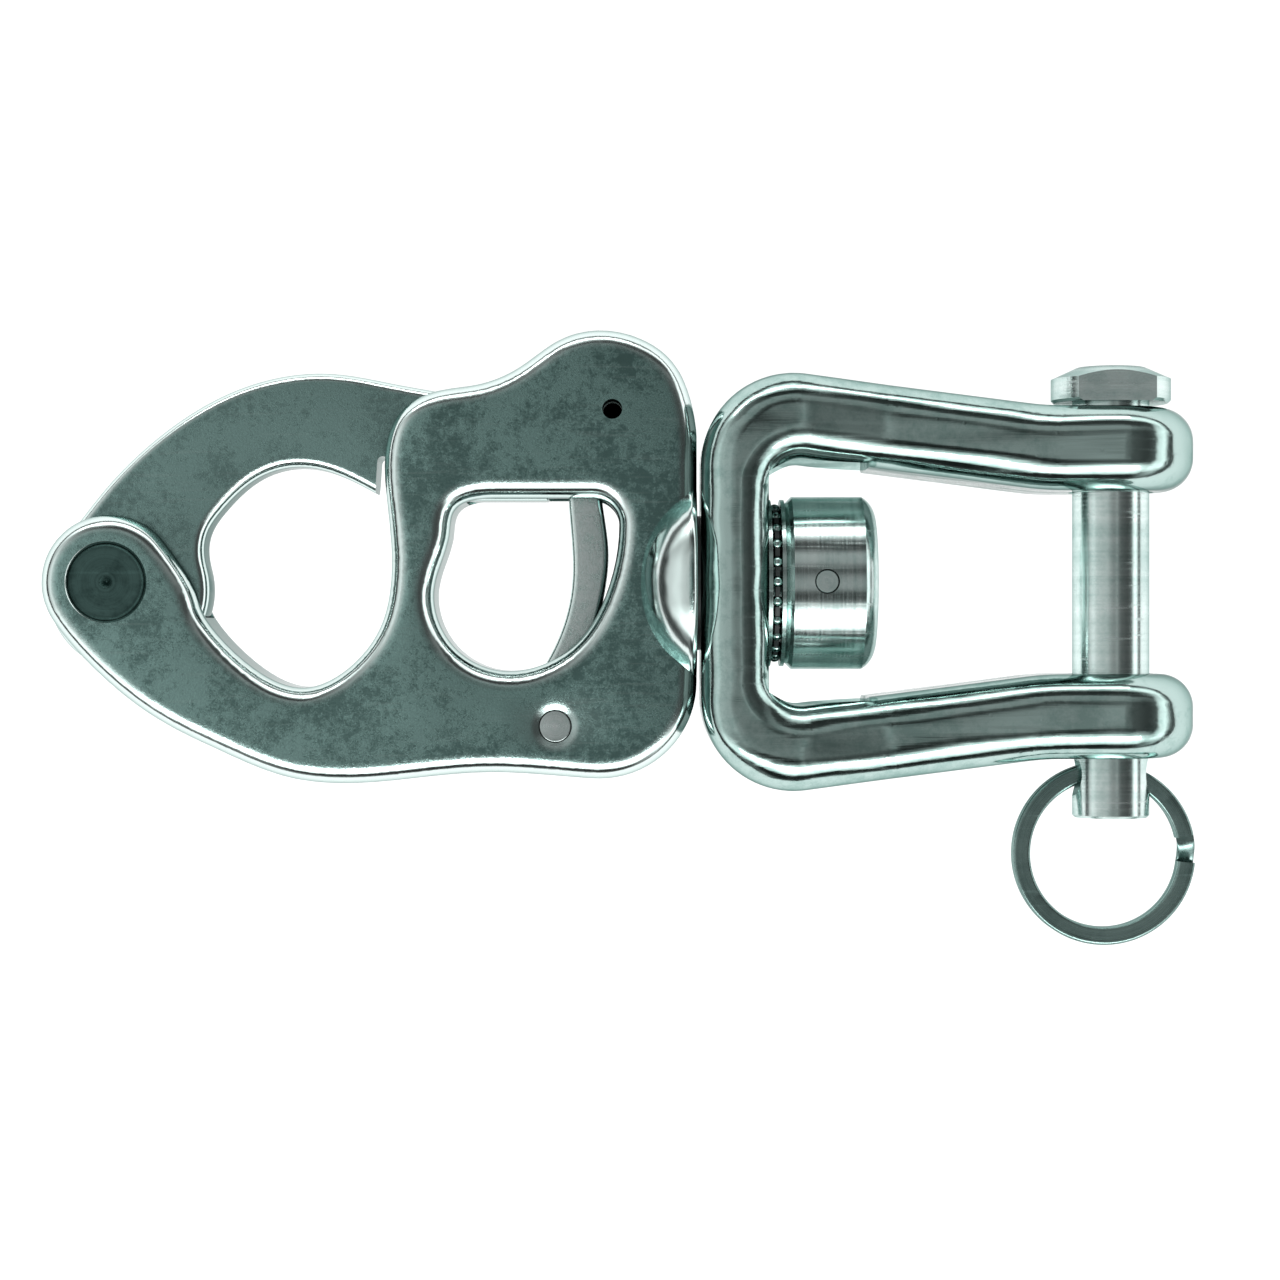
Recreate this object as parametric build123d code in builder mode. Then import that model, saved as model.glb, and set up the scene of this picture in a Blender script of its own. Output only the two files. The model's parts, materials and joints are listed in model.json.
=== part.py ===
from build123d import *
from math import cos, radians, sin
import os

# A trigger-release snap shackle with a swivel clevis. All sizes are in millimetres.
#
# Frame: the origin is the middle of the clevis pin. +X runs along the swivel axis, away from the
# hook. +Y runs along the clevis pin towards its head. +Z is up, out of the upper cheek.

os.makedirs("parts", exist_ok=True)

# ---------------------------------------------------------------- driving dimensions
# fits
turn_clear = 0.08        # radial, a pin or stud that turns in its hole
rivet_clear = 0.02       # radial, a pin or bush that is fixed in its hole
side_clear = 0.20        # jaw or trigger to each cheek
part_gap = 0.15          # jaw to trigger, and jaw to the body's stop
face_gap = 0.05          # between washers and the faces that turn on them

# places of the main axes
hinge_x = -208.0         # jaw hinge
pivot_x = -115.8         # trigger pivot
pivot_y = -29.6
hub_x = -86.7            # face of the body that the clevis swivels on

# body
body_thick = 24.0
jaw_thick = 12.0         # jaw and trigger
edge_round = 4.3         # rounding of the body's outer edges
eye_radius = 13.9        # fork eye round the hinge pin
post_x = -149.6          # wall between the hook bowl and the finger hole
crest_y = 52.0           # top of the hump
keel_y = -41.4           # lowest point of the body
keel_corner = 20.0       # round corner below the hub
stop_y = 16.85           # floor of the hump's slot, where the closed jaw rests
slot_wall_x = -92.6      # right-hand wall of the slot, beside the trigger's head
finger_right_x = -102.7
finger_left_x = -140.9
finger_top_y = 17.4
finger_low_y = -18.2
finger_corner = 5.5
hub_radius = 21.5
hub_length = 11.5        # how far the dome runs back into the body
hub_root_radius = 12.0
stud_radius = 10.0

# pins
hinge_pin_radius = 8.0
trigger_pin_radius = 3.4
dimple_radius = 5.2      # shallow cone round the trigger pin
dimple_angle = 140.0
dimple_depth = 0.5       # pin's end below the cheek
pin_chamfer = 0.6

# jaw
jaw_eye_radius = 16.8
jaw_eye_dx = 3.4         # the jaw's eye sits off the hinge axis, towards the bowl
jaw_eye_dy = -1.5
jaw_blend_at = 15.0      # where the inner edge runs into the eye, from +X
jaw_round = 2.2
toe_x = -113.3           # end of the jaw's tail
toe_y = 33.0             # ledge that the trigger's nose holds down
toe_land = 8.2           # length of that ledge
fork_clear = 0.5         # jaw eye to the web of the fork

# trigger
trigger_eye_radius = 6.2
trigger_clear = 0.8      # round the eye
trigger_round = 1.2
nose_reach = 4.4         # how far the nose hooks over the toe
head_top_y = 42.6
head_right_x = -100.6
spur_back_x = -106.6     # back of the spur that the spring pushes on
head_low_y = 31.6

# trigger return spring
spring_y = 21.0
spring_radius = 2.8
spring_wire = 0.8
spring_turns = 8
spring_pocket_x = -91.0
spring_seat_x = -109.6
spring_clear = 0.3

# hole through the upper cheek for a locking pin, carried on into the trigger's head
lock_x = -104.1
lock_y = 35.5
lock_radius = 2.0
lock_depth = 5.0
lock_clear = 0.3

# swivel
washer_thick = 0.7
washer_radius = 14.0
base_thick = 14.5        # clevis base
seat_depth = 0.7         # spot face in the base for the bearing
bush_wall = 1.5
race_thick = 0.8
race_gap = 0.6           # race's bore to the stud, and its rim to the nut's rim
ball_radius = 1.19
ball_count = 24
ball_pitch_radius = 15.3
groove_depth = 0.2
groove_clear = 0.05
cage_thick = 0.9
cage_inner = 13.2
cage_outer = 16.0
pocket_clear = 0.08
nut_radius = 18.0
nut_length = 18.9
nut_lead = 1.6           # chamfer at the bearing end
nut_crown_length = 2.7   # rounded far end
nut_crown_radius = 14.5
stud_recess = 0.8        # end of the stud below the nut's face
dowel_radius = 2.5
dowel_setback = 8.2      # dowel's axis past the nut's bearing end

# clevis
clevis_pin_radius = 8.0
jaw_gap = 37.8           # between the ears
ear_thick = 17.5
ear_radius = 17.0        # half the strap's depth, and the round end of each ear
base_half_depth = 19.0
strap_round = 7.0
arm_bend_x = -15.0       # where the arms turn parallel
arm_slope = 0.128        # how far they spread for each millimetre towards the base
arm_bend_radius = 60.0
corner_radius = 19.0
inner_corner_radius = 6.0
relief_radius = 27.8     # turned relief round the bearing and nut
relief_length = 20.7
ear_chamfer = 0.8

# clevis pin
pin_head_radius = 12.45
pin_head_height = 7.4
pin_head_gap = 1.1       # head to ear
pin_head_flats = 19.0    # across the spanner flats
pin_head_chamfer_in = 5.2
pin_head_chamfer_down = 2.4
pin_tail = 12.5          # shank past the lower ear
ring_hole_radius = 3.6
ring_hole_drop = 3.5     # hole centre past the ear

# split ring
ring_width = 3.7         # radial
ring_coil = 1.9          # axial, each of the two coils
ring_coil_gap = 0.06
ring_side = -1.6         # how far the ring hangs to one side of the pin
ring_jog_angle = 18.0    # stretch where the wire steps from one coil to the other
ring_jog_at = 12.0       # where that stretch starts, from +X
ring_edge = 0.7

# ---------------------------------------------------------------- sizes that follow
half_thick = body_thick / 2
slot_width = jaw_thick + 2 * side_clear
hump_span = hub_x - post_x
hinge_hole_radius = hinge_pin_radius + rivet_clear
trigger_hole_radius = trigger_pin_radius + rivet_clear
jaw_reach = (jaw_eye_dx ** 2 + jaw_eye_dy ** 2) ** 0.5 + jaw_eye_radius
nose_y = toe_y + part_gap
nose_x = toe_x + part_gap - nose_reach
base_back_x = hub_x + washer_thick + 2 * face_gap
base_front_x = base_back_x + base_thick
seat_x = base_front_x - seat_depth
ball_x = seat_x + race_thick + ball_radius - groove_depth
upper_race_x = ball_x + ball_radius - groove_depth
nut_x = upper_race_x + race_thick
nut_end_x = nut_x + nut_length
dowel_x = nut_x + dowel_setback
race_inner = stud_radius + race_gap
race_outer = nut_radius - race_gap
ear_in = jaw_gap / 2
ear_out = ear_in + ear_thick
ear_hole_radius = clevis_pin_radius + turn_clear
bore_radius = stud_radius + turn_clear + bush_wall
head_y = ear_out + pin_head_gap
tail_y = -ear_out - pin_tail
ring_hole_y = -ear_out - ring_hole_drop
ring_hole_mouth = 0.175 * clevis_pin_radius
ring_hole_mouth_depth = 0.425 * clevis_pin_radius
ring_outer = 2.3875 * clevis_pin_radius
ring_mean = ring_outer - ring_width / 2
ring_y = ring_hole_y + 0.7 - ring_mean


# ---------------------------------------------------------------- body
# One forged piece: a fork at the hinge, the lower half of the hook bowl, a slotted hump with the
# finger hole under it, and the domed hub with the swivel stud.
with BuildPart() as body:
    with BuildSketch(Plane.XY.offset(-half_thick)):
        with BuildLine():
            eye = CenterArc((hinge_x, 0), eye_radius, 38, 167)
            keel = Spline(
                eye @ 1,
                (hinge_x + 6.6, -25.9),
                (hinge_x + 23.1, -34.8),
                (hinge_x + 37.0, keel_y + 1.2),
                (hinge_x + 52.0, keel_y),
                (pivot_x - 11.5, keel_y + 2.2),
                (hub_x - keel_corner, keel_y + 0.9),
                tangents=(eye % 1, (1, 0)),
                tangent_scalars=(0.6, 0.6),
            )
            heel = JernArc(keel @ 1, (1, 0), keel_corner, 90)
            back = Line(heel @ 1, (hub_x, crest_y - 22.0))
            hump = Spline(
                back @ 1,
                (hub_x - 0.054 * hump_span, crest_y - 8.9),
                (hub_x - 0.175 * hump_span, crest_y - 2.0),
                (hub_x - 0.316 * hump_span, crest_y),
                (hub_x - 0.448 * hump_span, crest_y - 1.9),
                (hub_x - 0.579 * hump_span, crest_y - 7.5),
                (hub_x - 0.715 * hump_span, crest_y - 11.1),
                (post_x + 8.0, crest_y - 12.9),
                (post_x + 1.2, crest_y - 17.6),
                (post_x - 1.5, crest_y - 27.5),
                (post_x - 0.7, 14.0),
                (post_x, 5.0),
                tangents=((0, 1), (0, -1)),
                tangent_scalars=(0.5, 0.5),
            )
            bowl = Spline(
                hump @ 1,
                (post_x - 6.5, -15.4),
                (hinge_x + 41.0, -21.7),
                (hinge_x + 29.8, -17.7),
                (hinge_x + 19.3, -6.5),
                eye @ 0,
                tangents=((0, -1), eye % 0),
            )
        make_face()
        with BuildLine():
            top = Line((finger_left_x + 12.9, finger_top_y), (finger_right_x - finger_corner, finger_top_y))
            corner = CenterArc(
                (finger_right_x - finger_corner, finger_top_y - finger_corner), finger_corner, 90, -90
            )
            wall = Spline(
                corner @ 1,
                (finger_right_x - 2.1, -0.8),
                (finger_right_x - 9.0, -12.7),
                (finger_right_x - 24.7, finger_low_y),
                (finger_left_x + 4.0, -13.2),
                (finger_left_x, -1.5),
                (finger_left_x + 3.1, 9.6),
                top @ 0,
                tangents=((0, -1), (1, 0)),
            )
        make_face(mode=Mode.SUBTRACT)
    extrude(amount=body_thick)
    fillet(body.faces().filter_by(Axis.Z).edges(), edge_round)

    # domed hub and swivel stud
    with BuildSketch(Plane.XY):
        with BuildLine():
            dome = ThreePointArc(
                (hub_x - hub_length, hub_root_radius),
                (hub_x - 0.62 * hub_length, hub_root_radius + 0.62 * (hub_radius - hub_root_radius)),
                (hub_x - 1.3, hub_radius),
            )
            edge = ThreePointArc(dome @ 1, (hub_x - 0.3, hub_radius - 0.4), (hub_x, hub_radius - 1.4))
            Polyline(
                edge @ 1,
                (hub_x, stud_radius),
                (nut_end_x - stud_recess - 1.0, stud_radius),
                (nut_end_x - stud_recess, stud_radius - 1.0),
                (nut_end_x - stud_recess, 0),
                (hub_x - hub_length, 0),
                dome @ 0,
            )
        make_face()
    revolve(axis=Axis.X)

    # fork for the jaw's eye, slot for its tail, and the trigger's channel
    with BuildSketch(Plane.XY.offset(-slot_width / 2)):
        with Locations((hinge_x, 0)):
            Circle(jaw_reach + fork_clear)
        with Locations((pivot_x, pivot_y)):
            Circle(trigger_eye_radius + trigger_clear)
        with BuildLine():
            Polyline(
                (post_x - 15.0, stop_y),
                (post_x - 15.0, crest_y + 8.0),
                (slot_wall_x, crest_y + 8.0),
                (slot_wall_x, head_low_y - 3.3),
                (slot_wall_x - 6.7, head_low_y - 7.2),
                (slot_wall_x - 8.0, 5.0),
                (slot_wall_x - 10.6, -10.0),
                (pivot_x + trigger_eye_radius + trigger_clear, pivot_y),
                (pivot_x - trigger_eye_radius - trigger_clear, pivot_y),
                (pivot_x - 3.7, finger_low_y + 3.2),
                (finger_left_x + 10.9, 5.0),
                (finger_left_x + 6.4, stop_y),
                close=True,
            )
        make_face()
    extrude(amount=slot_width, mode=Mode.SUBTRACT)

    # pocket for the return spring
    with BuildSketch(Plane.YZ.offset(spring_pocket_x)):
        with Locations((spring_y, 0)):
            Circle(spring_radius + spring_clear)
    extrude(amount=-12.0, mode=Mode.SUBTRACT)

    # pin holes, the dimple round the trigger pin, and the locking hole in the upper cheek
    with Locations((hinge_x, 0, half_thick)):
        Hole(hinge_hole_radius)
    with Locations((pivot_x, pivot_y, half_thick)):
        CounterSinkHole(trigger_hole_radius, dimple_radius, counter_sink_angle=dimple_angle)
    with Locations(Location((pivot_x, pivot_y, -half_thick), (180, 0, 0))):
        CounterSinkHole(trigger_hole_radius, dimple_radius, counter_sink_angle=dimple_angle)
    with Locations((lock_x, lock_y, half_thick)):
        Hole(lock_radius, depth=half_thick - slot_width / 2 + 1.0)
    with BuildSketch(Plane.XY.offset(-nut_radius)):
        with Locations((dowel_x, 0)):
            Circle(dowel_radius + rivet_clear)
    extrude(amount=2 * nut_radius, mode=Mode.SUBTRACT)
    hinge_rims = body.edges().filter_by(GeomType.CIRCLE).filter_by(
        lambda e: abs(e.radius - hinge_hole_radius) < 0.01 and abs(abs(e.center().Z) - half_thick) < 0.01
    )
    chamfer(hinge_rims, 0.4)
body.part.label = "body"
export_step(body.part, "parts/body.step")

# ---------------------------------------------------------------- hinge pin
# Riveted flush in both cheeks, with a small turning centre in each end.
with BuildPart() as hinge_pin:
    with BuildSketch(Plane.XY.offset(-half_thick)):
        with Locations((hinge_x, 0)):
            Circle(hinge_pin_radius)
    extrude(amount=body_thick)
    chamfer(hinge_pin.edges().filter_by(GeomType.CIRCLE), pin_chamfer)
    with Locations((hinge_x, 0, half_thick), Location((hinge_x, 0, -half_thick), (180, 0, 0))):
        CounterSinkHole(0.4, 1.3, depth=0.9)
hinge_pin.part.label = "hinge_pin"
export_step(hinge_pin.part, "parts/hinge_pin.step")

# ---------------------------------------------------------------- jaw
# The gate: an off-centre eye between the fork's cheeks, a curved arm over the bowl, and a tail that
# ends in the ledge under the trigger's nose.
with BuildPart() as jaw:
    with BuildSketch(Plane.XY.offset(-jaw_thick / 2)):
        eye_x = hinge_x + jaw_eye_dx
        start = (
            eye_x + jaw_eye_radius * cos(radians(140)),
            jaw_eye_dy + jaw_eye_radius * sin(radians(140)),
        )
        with BuildLine():
            top = Spline(
                start,
                (hinge_x - 1.6, 19.2),
                (hinge_x + 10.7, 31.0),
                (hinge_x + 26.5, 40.2),
                (hinge_x + 45.0, 43.4),
                (post_x + 2.0, 40.9),
                (toe_x - toe_land - 9.0, 36.6),
                (toe_x - toe_land, toe_y),
                tangents=((sin(radians(140)), -cos(radians(140))), (1, -0.1)),
            )
            tail = Polyline(
                top @ 1,
                (toe_x, toe_y),
                (toe_x, toe_y - 5.0),
                (toe_x - 4.2, stop_y + part_gap),
                (post_x + 2.0, stop_y + part_gap),
            )
            inside = Spline(
                tail @ 1,
                (post_x - 4.5, 19.0),
                (post_x - 11.5, 22.4),
                (hinge_x + 38.5, 24.0),
                (hinge_x + 30.6, 21.9),
                (hinge_x + 22.6, 14.9),
                (
                    eye_x + jaw_eye_radius * cos(radians(jaw_blend_at)),
                    jaw_eye_dy + jaw_eye_radius * sin(radians(jaw_blend_at)),
                ),
                tangents=((-1, 0), (sin(radians(jaw_blend_at)), -cos(radians(jaw_blend_at)))),
            )
            Polyline(inside @ 1, (eye_x, jaw_eye_dy), top @ 0)
        make_face()
        with Locations((eye_x, jaw_eye_dy)):
            Circle(jaw_eye_radius)
    extrude(amount=jaw_thick)
    fillet(jaw.faces().filter_by(Axis.Z).edges(), jaw_round)

    # relief beside the hook's nib, where the tail enters the hump
    with BuildSketch(Plane.XY.offset(-jaw_thick / 2)):
        with BuildLine():
            left = Line((post_x - 4.1, 12.0), (post_x - 3.2, 25.0))
            right = Line((post_x - 0.9, 25.0), (post_x - 0.6, 12.0))
            ThreePointArc(left @ 1, (post_x - 2.05, 26.15), right @ 0)
            Line(right @ 1, left @ 0)
        make_face()
    extrude(amount=jaw_thick, mode=Mode.SUBTRACT)
    with Locations((hinge_x, 0, jaw_thick / 2)):
        Hole(hinge_pin_radius + turn_clear)
jaw.part.label = "jaw"
export_step(jaw.part, "parts/jaw.step")

# ---------------------------------------------------------------- trigger
# A curved lever behind the finger hole. Its nose hooks over the jaw's toe.
with BuildPart() as trigger:
    with BuildSketch(Plane.XY.offset(-jaw_thick / 2)):
        with BuildLine():
            grip = Spline(
                (pivot_x - trigger_eye_radius, pivot_y),
                (pivot_x - 0.7, pivot_y + 15.4),
                (pivot_x + 2.9, pivot_y + 26.0),
                (pivot_x + 3.4, pivot_y + 36.0),
                (pivot_x + 2.6, pivot_y + 47.0),
                (toe_x + part_gap, nose_y - 6.0),
                tangents=((0, 1), (0, 1)),
            )
            head = Polyline(
                grip @ 1,
                (toe_x + part_gap, nose_y),
                (nose_x, nose_y),
                (nose_x, nose_y + 3.6),
                (nose_x + 8.0, head_top_y),
                (head_right_x - 3.0, head_top_y),
                (head_right_x, head_top_y - 3.0),
                (head_right_x, head_low_y),
                (spur_back_x, head_low_y - 4.4),
            )
            spine = Spline(
                head @ 1,
                (spur_back_x, spring_y - 1.0),
                (pivot_x + 10.8, pivot_y + 36.0),
                (pivot_x + 9.5, pivot_y + 25.0),
                (pivot_x + 7.4, pivot_y + 14.6),
                (pivot_x + trigger_eye_radius, pivot_y),
                tangents=((0, -1), (0, -1)),
            )
            Line(spine @ 1, grip @ 0)
        make_face()
        with Locations((pivot_x, pivot_y)):
            Circle(trigger_eye_radius)
    extrude(amount=jaw_thick)
    rims = trigger.faces().filter_by(Axis.Z).edges()
    fillet(rims - rims.filter_by(GeomType.LINE), trigger_round)
    with Locations((pivot_x, pivot_y, jaw_thick / 2)):
        Hole(trigger_pin_radius + turn_clear)
    with Locations((lock_x, lock_y, jaw_thick / 2)):
        Hole(lock_radius + lock_clear, depth=lock_depth)
    with BuildSketch(Plane.YZ.offset(spring_seat_x)):
        with Locations((spring_y, 0)):
            Circle(spring_radius + spring_clear)
    extrude(amount=8.0, mode=Mode.SUBTRACT)
trigger.part.label = "trigger"
export_step(trigger.part, "parts/trigger.step")

# ---------------------------------------------------------------- trigger pin
with BuildPart() as trigger_pin:
    with BuildSketch(Plane.XY.offset(dimple_depth - half_thick)):
        with Locations((pivot_x, pivot_y)):
            Circle(trigger_pin_radius)
    extrude(amount=body_thick - 2 * dimple_depth)
    fillet(trigger_pin.edges().filter_by(GeomType.CIRCLE), 0.45)
trigger_pin.part.label = "trigger_pin"
export_step(trigger_pin.part, "parts/trigger_pin.step")

# ---------------------------------------------------------------- trigger return spring
# A compression spring between the body's pocket and a seat in the trigger's back.
spring_length = spring_pocket_x - spring_seat_x
coil_radius = spring_radius - spring_wire / 2
spring_rise = spring_length - spring_wire - 2 * face_gap
with BuildPart() as trigger_spring:
    with BuildLine() as coil:
        Helix(
            pitch=spring_rise / spring_turns,
            height=spring_rise,
            radius=coil_radius,
            center=(spring_seat_x + face_gap + spring_wire / 2, spring_y, 0),
            direction=(1, 0, 0),
        )
    with BuildSketch(Plane(origin=coil.line @ 0, z_dir=coil.line % 0)):
        Circle(spring_wire / 2)
    sweep(path=coil.line, is_frenet=True)
trigger_spring.part.label = "trigger_spring"
export_step(trigger_spring.part, "parts/trigger_spring.step")


# ---------------------------------------------------------------- swivel stack
def ring(first_x, length, inner, outer):
    """A plain ring about the swivel axis."""
    with BuildPart() as made:
        with BuildSketch(Plane.YZ.offset(first_x)):
            Circle(outer)
            Circle(inner, mode=Mode.SUBTRACT)
        extrude(amount=length)
    return made


hub_washer = ring(hub_x + face_gap, washer_thick, stud_radius + turn_clear, washer_radius)
hub_washer.part.label = "hub_washer"
export_step(hub_washer.part, "parts/hub_washer.step")

swivel_bush = ring(base_back_x, seat_x - base_back_x, stud_radius + turn_clear, bore_radius)
swivel_bush.part.label = "swivel_bush"
export_step(swivel_bush.part, "parts/swivel_bush.step")


def race(first_x):
    """A thin race with a groove for the balls in the face that looks at them."""
    with BuildPart() as made:
        with BuildSketch(Plane.XY):
            with Locations((first_x + race_thick / 2, (race_inner + race_outer) / 2)):
                Rectangle(race_thick, race_outer - race_inner)
            with Locations((ball_x, ball_pitch_radius)):
                Circle(ball_radius + groove_clear, mode=Mode.SUBTRACT)
        revolve(axis=Axis.X)
    return made


lower_race = race(seat_x)
lower_race.part.label = "lower_race"
export_step(lower_race.part, "parts/lower_race.step")

upper_race = race(upper_race_x)
upper_race.part.label = "upper_race"
export_step(upper_race.part, "parts/upper_race.step")

with BuildPart() as bearing_balls:
    with Locations(Plane.YZ.offset(ball_x)):
        with PolarLocations(ball_pitch_radius, ball_count):
            Sphere(ball_radius)
bearing_balls.part.label = "bearing_balls"
export_step(bearing_balls.part, "parts/bearing_balls.step")

# The pockets break out through the cage's rim, so that each ball snaps in.
with BuildPart() as ball_cage:
    with BuildSketch(Plane.YZ.offset(ball_x - cage_thick / 2)):
        Circle(cage_outer)
        Circle(cage_inner, mode=Mode.SUBTRACT)
        with PolarLocations(ball_pitch_radius, ball_count):
            Circle(ball_radius + pocket_clear, mode=Mode.SUBTRACT)
    extrude(amount=cage_thick)
ball_cage.part.label = "ball_cage"
export_step(ball_cage.part, "parts/ball_cage.step")

# ---------------------------------------------------------------- swivel nut and its dowel
with BuildPart() as swivel_nut:
    with BuildSketch(Plane.XY):
        with BuildLine():
            crown = ThreePointArc(
                (nut_end_x - nut_crown_length, nut_radius),
                (nut_end_x - 0.3 * nut_crown_length, 0.4 * nut_radius + 0.6 * nut_crown_radius + 0.4),
                (nut_end_x, nut_crown_radius),
            )
            Polyline(
                crown @ 1,
                (nut_end_x, stud_radius + rivet_clear + 0.8),
                (nut_end_x - 0.8, stud_radius + rivet_clear),
                (nut_x, stud_radius + rivet_clear),
                (nut_x, nut_radius - nut_lead),
                (nut_x + nut_lead, nut_radius),
                crown @ 0,
            )
        make_face()
    revolve(axis=Axis.X)
    with BuildSketch(Plane.XY.offset(-nut_radius - 1.0)):
        with Locations((dowel_x, 0)):
            Circle(dowel_radius + rivet_clear)
    extrude(amount=2 * nut_radius + 2.0, mode=Mode.SUBTRACT)
swivel_nut.part.label = "swivel_nut"
export_step(swivel_nut.part, "parts/swivel_nut.step")

with BuildPart() as nut_dowel:
    with BuildSketch(Plane.XY.offset(0.3 - nut_radius)):
        with Locations((dowel_x, 0)):
            Circle(dowel_radius)
    extrude(amount=2 * nut_radius - 0.6)
    chamfer(nut_dowel.edges().filter_by(GeomType.CIRCLE), 0.3)
nut_dowel.part.label = "nut_dowel"
export_step(nut_dowel.part, "parts/nut_dowel.step")

# ---------------------------------------------------------------- clevis
# A wide strap bent to a U. Its edges are rounded until the strap is nearly full round.
arm_length = arm_bend_x - base_back_x
inner_length = arm_bend_x - base_front_x
end_x = ear_radius + 4.0
with BuildPart() as clevis:
    with BuildSketch(Plane.XY.offset(-base_half_depth)):
        with BuildLine():
            outer = FilletPolyline(
                (end_x, ear_out),
                (arm_bend_x, ear_out),
                (base_back_x, ear_out + arm_slope * arm_length),
                (base_back_x, -ear_out - arm_slope * arm_length),
                (arm_bend_x, -ear_out),
                (end_x, -ear_out),
                radius=[arm_bend_radius, corner_radius, corner_radius, arm_bend_radius],
            )
            inner = FilletPolyline(
                (end_x, ear_in),
                (arm_bend_x, ear_in),
                (base_front_x, ear_in + arm_slope * inner_length),
                (base_front_x, -ear_in - arm_slope * inner_length),
                (arm_bend_x, -ear_in),
                (end_x, -ear_in),
                radius=[arm_bend_radius, inner_corner_radius, inner_corner_radius, arm_bend_radius],
            )
            Line(outer @ 0, inner @ 0)
            Line(outer @ 1, inner @ 1)
        make_face()
    extrude(amount=2 * base_half_depth)

    # the strap's outline from the side: deeper at the base, with round ears
    with BuildSketch(Plane.XZ.offset(-2 * ear_out)):
        with BuildLine():
            upper = FilletPolyline(
                (base_back_x - 5.0, base_half_depth),
                (base_front_x + 6.0, base_half_depth),
                (base_front_x + 24.0, ear_radius),
                (0, ear_radius),
                radius=40.0,
            )
            lower = FilletPolyline(
                (base_back_x - 5.0, -base_half_depth),
                (base_front_x + 6.0, -base_half_depth),
                (base_front_x + 24.0, -ear_radius),
                (0, -ear_radius),
                radius=40.0,
            )
            CenterArc((0, 0), ear_radius, -90, 180)
            Line(upper @ 0, lower @ 0)
        make_face()
    extrude(amount=4 * ear_out, mode=Mode.INTERSECT)
    rims = clevis.edges() - clevis.edges().filter_by(Axis.Z) - clevis.edges().filter_by(Axis.Y)
    fillet(rims, strap_round)

    # turned relief and bearing seat
    with BuildSketch(Plane.YZ.offset(seat_x)):
        Circle(relief_radius)
    extrude(amount=relief_length, mode=Mode.SUBTRACT)
    with BuildSketch(Plane.YZ.offset(base_back_x)):
        Circle(bore_radius + rivet_clear)
    extrude(amount=base_thick, mode=Mode.SUBTRACT)

    # clevis pin holes
    with BuildSketch(Plane.XZ.offset(-2 * ear_out)):
        Circle(ear_hole_radius)
    extrude(amount=4 * ear_out, mode=Mode.SUBTRACT)
    ear_rims = clevis.edges().filter_by(GeomType.CIRCLE).filter_by(
        lambda e: abs(e.radius - ear_hole_radius) < 0.01
    )
    chamfer(ear_rims, ear_chamfer)
clevis.part.label = "clevis"
export_step(clevis.part, "parts/clevis.step")

# ---------------------------------------------------------------- clevis pin
with BuildPart() as clevis_pin:
    with BuildSketch(Plane.XY):
        with BuildLine():
            Polyline(
                (0, tail_y),
                (clevis_pin_radius - 0.5, tail_y),
                (clevis_pin_radius, tail_y + 0.5),
                (clevis_pin_radius, head_y),
                (pin_head_radius - 0.6, head_y),
                (pin_head_radius, head_y + 0.6),
                (pin_head_radius, head_y + pin_head_height - pin_head_chamfer_down),
                (pin_head_radius - pin_head_chamfer_in, head_y + pin_head_height),
                (0, head_y + pin_head_height),
                close=True,
            )
        make_face()
    revolve(axis=Axis.Y)
    for side in (1, -1):
        with BuildSketch(Plane.XZ.offset(-head_y + 0.01)):
            with Locations((0, side * (pin_head_flats / 2 + 5.0))):
                Rectangle(4 * pin_head_radius, 10.0)
        extrude(amount=-pin_head_height - 1.0, mode=Mode.SUBTRACT)

    # hole for the split ring, opened out at both mouths
    with BuildSketch(Plane.XY):
        with BuildLine():
            Polyline(
                (-clevis_pin_radius - 1.0, ring_hole_y),
                (-clevis_pin_radius - 1.0, ring_hole_y + ring_hole_radius + ring_hole_mouth),
                (-clevis_pin_radius, ring_hole_y + ring_hole_radius + ring_hole_mouth),
                (ring_hole_mouth_depth - clevis_pin_radius, ring_hole_y + ring_hole_radius),
                (clevis_pin_radius - ring_hole_mouth_depth, ring_hole_y + ring_hole_radius),
                (clevis_pin_radius, ring_hole_y + ring_hole_radius + ring_hole_mouth),
                (clevis_pin_radius + 1.0, ring_hole_y + ring_hole_radius + ring_hole_mouth),
                (clevis_pin_radius + 1.0, ring_hole_y),
                close=True,
            )
        make_face()
    revolve(axis=Axis((0, ring_hole_y, 0), (1, 0, 0)), mode=Mode.SUBTRACT)
clevis_pin.part.label = "clevis_pin"
export_step(clevis_pin.part, "parts/clevis_pin.step")

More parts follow.
